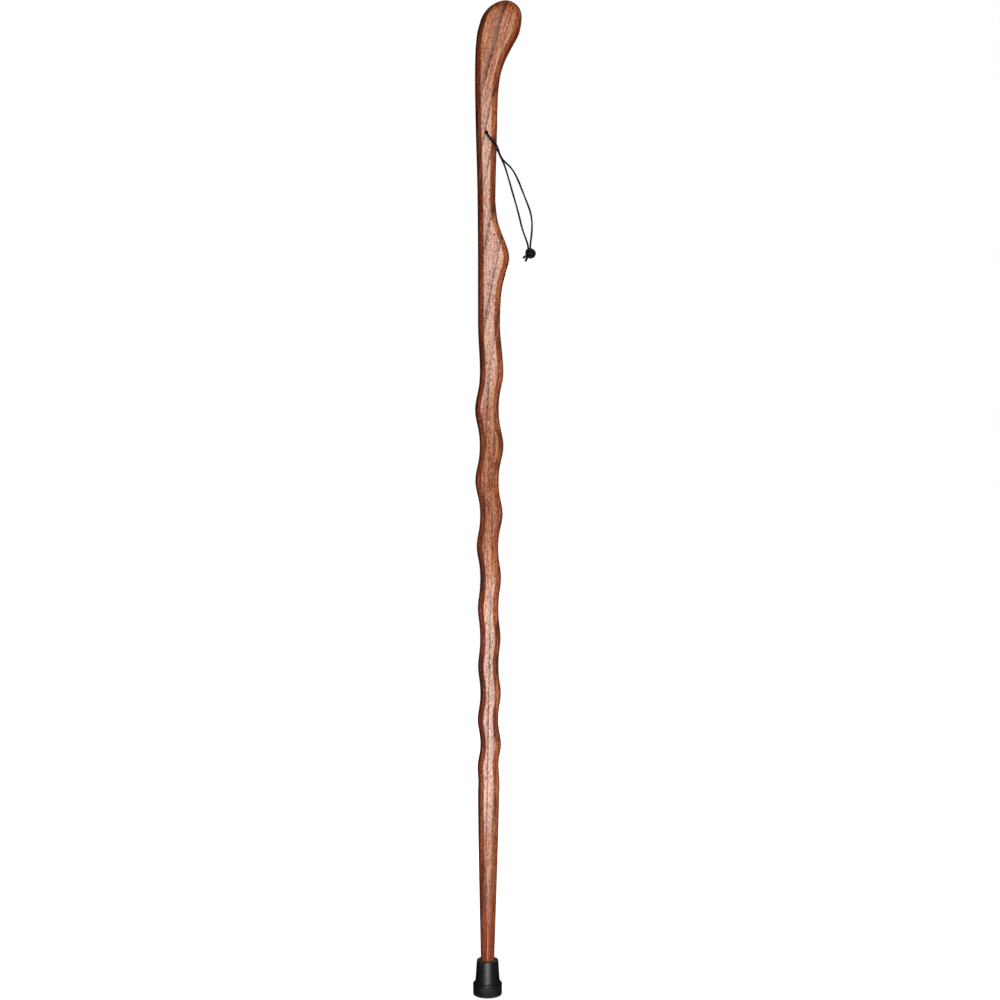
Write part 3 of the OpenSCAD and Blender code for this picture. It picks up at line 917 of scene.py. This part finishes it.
varnish = wood.math("MULTIPLY_ADD", open_grain, pore_thirst, wood.ease(grit, 0.48, 0.68, 1, 0.6))
varnish = wood.product(varnish, varnished)
gloss = wood.ease(fibres, 0.3, 0.7, 0.3, 0.42)
gloss = wood.math("MULTIPLY_ADD", open_grain, pore_dullness, gloss)
gloss = wood.math("MAXIMUM", gloss, wood.ease(varnished, 0, 1, bare_roughness, 0))
relief = wood.math("MULTIPLY_ADD", open_grain, -1, wood.product(fibres, fibre_relief))
wood.surface(
    Base_Color=colour, Roughness=gloss, Normal=wood.bump(relief, grain_depth), Coat_Weight=varnish,
    Coat_Roughness=0.15, Coat_IOR=1.6, Specular_IOR_Level=0.12,
)
carved_staff.data.materials.append(wood.material)
print("stained wood has", len(wood.nodes), "nodes")

# %% [markdown]
# ## Lace, rubber and steel
#
# The lace is waxed leather: black, with a fine cross grain and paler rubbed ridges. Its pattern reads the
# note of distance that the sweep left on each ring. The rubber is black too, but moulded: smooth on the
# neck, pebbled on the band, dusty round the sole. The washer inside the tip is plain zinc-plated steel
# with turning marks.

# %% Waxed leather
wrinkle_scale = (700, 700, 1500)
wrinkle_depth = 0.00012
crease_scale = (250, 250, 420)
leather_stops = tint_stops((0.3, 0.004, 0.004, 0.004), (0.7, 0.018, 0.017, 0.016))

leather = Finish("waxed_leather")
along_lace = leather.attribute("straight")["Vector"]
wrinkles = leather.noise(along_lace, wrinkle_scale, detail=4, roughness=0.6)
creases = leather.noise(along_lace, crease_scale)
leather.surface(
    Base_Color=leather.ramp(wrinkles, leather_stops), Roughness=leather.ease(creases, 0.3, 0.7, 0.52, 0.7),
    Normal=leather.bump(wrinkles, wrinkle_depth), Specular_IOR_Level=0.14,
)
for strand in (front_lace, back_lace, lace_knot):
    strand.data.materials.append(leather.material)
    softening = strand.modifiers.new("soft_corners", "SUBSURF")
    softening.levels = 1
    softening.render_levels = 1
print("waxed leather has", len(leather.nodes), "nodes")

# %% Where the rubber is band, rim or sole
rim_deep = 0.0014
band_blend = 0.0005
sole_low = 0.0005
sole_high = 0.004

rubber = Finish("moulded_rubber")
tip_height = rubber.parts(rubber.place)[2]
tip_radius = rubber.distance(rubber.place, (1, 1, 0))
on_band = rubber.rest(rubber.ease(tip_height, line_low - band_blend, line_low + band_blend))
on_rim = rubber.ease(tip_height, tip_high.z - rim_deep, tip_high.z - rim_deep / 2)
on_sole = rubber.ease(tip_height, sole_low, sole_high, 1, 0)
print("the band ends at", line_low, "m and the rim starts at", round(tip_high.z - rim_deep, 4), "m")

# %% Moulded rubber
pebble_scale = (800, 800, 800)
skin_scale = (1800, 1800, 1800)
mottle_scale = (430, 430, 430)
blotch_scale = (160, 160, 160)
rubber_stops = grey_stops((0.34, 0.003), (0.5, 0.007), (0.66, 0.02))
dust_grey = (0.09, 0.085, 0.08, 1)
dust_weight = 0.5
rim_stain = (0.035, 0.016, 0.008, 1)
stain_radius = 0.0125
stain_fade = 0.0015
pebble_relief = 1.2
skin_relief = 0.3
moulding_depth = 0.0003
band_dullness = 0.2
rim_dullness = 0.9

skin = rubber.noise(rubber.place, skin_scale, detail=3)
mottle = rubber.noise(rubber.place, mottle_scale, detail=3, roughness=0.6)
dust = rubber.product(on_sole, rubber.ease(skin, 0.45, 0.7))
stain = rubber.product(on_rim, rubber.ease(tip_radius, stain_radius, stain_radius + stain_fade, 1, 0.2))
rubber_colour = rubber.ramp(mottle, rubber_stops)
rubber_colour = rubber.mix(rubber.product(dust, dust_weight), rubber_colour, dust_grey)
rubber_colour = rubber.mix(stain, rubber_colour, rim_stain)
pebbles = rubber.product(rubber.cells(rubber.place, pebble_scale), on_band)
moulding = rubber.math("MULTIPLY_ADD", skin, skin_relief, rubber.product(pebbles, pebble_relief))
dullness = rubber.ease(rubber.noise(rubber.place, blotch_scale, detail=3), 0.3, 0.7, 0.32, 0.42)
dullness = rubber.math("MULTIPLY_ADD", on_band, band_dullness, dullness)
dullness = rubber.math("MAXIMUM", dullness, rubber.product(on_rim, rim_dullness))
rubber.surface(
    Base_Color=rubber_colour, Roughness=dullness, Normal=rubber.bump(moulding, moulding_depth),
    Specular_IOR_Level=0.52,
)
rubber_foot.data.materials.append(rubber.material)
print("moulded rubber has", len(rubber.nodes), "nodes")

# %% Turned steel
turning_scale = 6000
turning_depth = 0.00004
steel_stain_scale = (300, 300, 300)
steel_stops = tint_stops((0.35, 0.42, 0.42, 0.43), (0.7, 0.6, 0.6, 0.62))

steel = Finish("turned_steel")
from_axis = steel.distance(steel.place, (1, 1, 0))
turning_inputs = {"W": from_axis, "Scale": turning_scale, "Detail": 2}
turning = steel.node("TexNoise", turning_inputs, noise_dimensions="1D").outputs["Fac"]
steel_stains = steel.noise(steel.place, steel_stain_scale, detail=3)
steel.surface(
    Base_Color=steel.ramp(steel_stains, steel_stops), Metallic=1,
    Roughness=steel.ease(turning, 0.3, 0.7, 0.25, 0.45), Normal=steel.bump(turning, turning_depth),
)
tip_washer = frame["nodes"]["tip_washer"]
tip_washer.data.materials.clear()
tip_washer.data.materials.append(steel.material)

# %% [markdown]
# ## Light and floor
#
# The pale band down the front of the staff is the reflection of softboxes in the varnish. It fades on the
# head and breaks off in the middle of the shaft, so the boxes stand one above the other, with gaps between
# and a weak one at the top, and one more stands behind. The flat front mirrors a box over its whole width,
# and the rounded edges turn away from it at once, which gives the band its crisp borders. Two bright cards
# on the floor draw the highlight on the tip, and dark flags all round keep the edges deep in colour. Boxes,
# cards and flags show only in the gloss, and other lamps light only the colours, so that each can be set
# without the other.


# %% A helper for lamps
def lamp(name, middle, width, tall, radiance, aim, for_gloss, spread=180):
    """An area light as bright as radiance all over, that shows in the gloss or lights the colours."""
    data = bpy.data.lights.new(name, "AREA")
    data.shape = "RECTANGLE"
    data.size = width
    data.size_y = tall
    data.spread = math.radians(spread)
    data.energy = radiance * math.pi * width * tall
    made = bpy.data.objects.new(name, data)
    made.location = middle
    made.rotation_euler = (Vector(aim) - Vector(middle)).to_track_quat("-Z", "Y").to_euler()
    made.visible_camera = False
    made.visible_glossy = for_gloss
    made.visible_diffuse = not for_gloss
    scene.collection.objects.link(made)


# %% Boxes and cards for the gloss
box_distance = 0.95
box_width = 0.72
back_box_width = 0.3
card_height = 0.004
# Each box has a name, the height of its middle, its own height and its radiance
front_boxes = [("lower_box", 0.26, 0.52, 6.6), ("upper_box", 1.21, 0.62, 4.1), ("head_box", 1.7, 0.3, 0.5)]
back_boxes = [("back_box", 0.98, 1.04, 4.1)]
# Each card has a name, its place in front of the staff, its width, its length and its radiance
floor_cards = [("near_card", -0.17, 0.05, 0.16, 3.6), ("far_card", -0.55, 0.16, 0.5, 2.2)]

for name, middle, tall, radiance in front_boxes:
    lamp(name, (0, -box_distance, middle), box_width, tall, radiance, (0, 0, middle), True)
for name, middle, tall, radiance in back_boxes:
    lamp(name, (0, box_distance, middle), back_box_width, tall, radiance, (0, 0, middle), True)
for name, y, width, long, radiance in floor_cards:
    lamp(name, (0, y, card_height), width, long, radiance, (0, y, 1), True)
print("for the gloss:", len(front_boxes + back_boxes), "boxes and", len(floor_cards), "cards")

# %% Lamps for the colours
# Each lamp has a name, its place, width, height and radiance, the point that it faces and its spread
colour_lamps = [
    ("key_lamp", (2.2, -2.4, 1.7), 0.6, 0.8, 79, (0, 0, 0.8), 180),
    ("left_lamp", (-2, 0.9, 1), 1, 1.4, 2.5, (0, 0, 0.75), 180),
    ("low_left_lamp", (-1.2, -0.5, 0.32), 0.5, 0.7, 1.2, (0, 0, 0.32), 75),
    ("back_lamp", (0.6, 2.6, 1.3), 1, 1.4, 13, (0, 0, 0.75), 180),
]
for name, middle, width, tall, radiance, aim, spread in colour_lamps:
    lamp(name, middle, width, tall, radiance, aim, False, spread)
print("for the colours:", [colour_lamp[0] for colour_lamp in colour_lamps])


# %% Flags that only the gloss sees
def plane_object(name, matrix, width, tall):
    """A flat panel of the stage, which is no part of the staff."""
    bm = bmesh.new()
    bmesh.ops.create_grid(bm, x_segments=1, y_segments=1, size=0.5)
    bmesh.ops.scale(bm, vec=(width, tall, 1), verts=bm.verts)
    bmesh.ops.transform(bm, matrix=matrix, verts=bm.verts)
    mesh = bpy.data.meshes.new(name)
    bm.to_mesh(mesh)
    bm.free()
    panel = bpy.data.objects.new(name, mesh)
    scene.collection.objects.link(panel)
    return panel


flag_black = Finish("flag_black")
flag_black.surface(Base_Color=(0, 0, 0, 1), Roughness=1, Specular_IOR_Level=0)
flag_side = 0.5
flag_back = 1
flag_tall = 2.2
flag_lift = 0.002
half_tall = flag_tall / 2
facing_x = Matrix.Rotation(quarter_turn, 4, "Y")
facing_y = Matrix.Rotation(quarter_turn, 4, "X")
facing_z = Matrix.Identity(4)
flags = [
    ("left_flag", (-flag_side, 0, half_tall), facing_x, flag_tall, 2 * flag_back),
    ("right_flag", (flag_side, 0, half_tall), facing_x, flag_tall, 2 * flag_back),
    ("front_flag", (0, -flag_back, half_tall), facing_y, 2 * flag_side, flag_tall),
    ("back_flag", (0, flag_back, half_tall), facing_y, 2 * flag_side, flag_tall),
    ("top_flag", (0, 0, flag_tall), facing_z, 2 * flag_side, 2 * flag_back),
    ("floor_flag", (0, 0, flag_lift), facing_z, 2 * flag_side, 2 * flag_back),
]
for name, middle, facing, width, tall in flags:
    flag = plane_object(name, Matrix.Translation(middle) @ facing, width, tall)
    flag.data.materials.append(flag_black.material)
    flag.visible_camera = False
    flag.visible_diffuse = False
    flag.visible_shadow = False
print(len(flags), "flags")

# %% White floor
floor_side = 14
floor_grey = (0.4, 0.4, 0.4, 1)
floor_glow_near = 0.82
floor_glow_far = 1
floor_near = 0.05
floor_far = 0.7

floor_white = Finish("floor_white")
rays = floor_white.node("LightPath", {}).outputs
floor_distance = floor_white.distance(floor_white.place, (1, 1, 1))
glow = floor_white.ease(floor_distance, floor_near, floor_far, floor_glow_near, floor_glow_far)
shown = floor_white.math("MAXIMUM", rays["Is Camera Ray"], rays["Is Glossy Ray"])
shown = floor_white.math("MAXIMUM", shown, rays["Is Transmission Ray"])
floor_white.surface(
    Base_Color=floor_grey, Roughness=1, Specular_IOR_Level=0, Emission_Color=(1, 1, 1, 1),
    Emission_Strength=floor_white.product(shown, glow),
)
floor = plane_object("floor", facing_z, floor_side, floor_side)
floor.data.materials.append(floor_white.material)
print("the floor is", floor_side, "m wide")

# %% White surroundings
ambient = 0.12

world = bpy.data.worlds.new("white_surroundings")
world.use_nodes = True
scene.world = world
sky = world.node_tree
sky_rays = sky.nodes.new("ShaderNodeLightPath").outputs
seen = sky.nodes.new("ShaderNodeMath")
seen.operation = "MAXIMUM"
seen_through = sky.nodes.new("ShaderNodeMath")
seen_through.operation = "MAXIMUM"
sky_level = sky.nodes.new("ShaderNodeMapRange")
sky.links.new(sky_rays["Is Camera Ray"], seen.inputs[0])
sky.links.new(sky_rays["Is Glossy Ray"], seen.inputs[1])
sky.links.new(seen.outputs[0], seen_through.inputs[0])
sky.links.new(sky_rays["Is Transmission Ray"], seen_through.inputs[1])
sky.links.new(seen_through.outputs[0], sky_level.inputs["Value"])
sky_level.inputs["To Min"].default_value = ambient
sky_level.inputs["To Max"].default_value = 1
sky.nodes["Background"].inputs["Color"].default_value = (1, 1, 1, 1)
sky.links.new(sky_level.outputs["Result"], sky.nodes["Background"].inputs["Strength"])
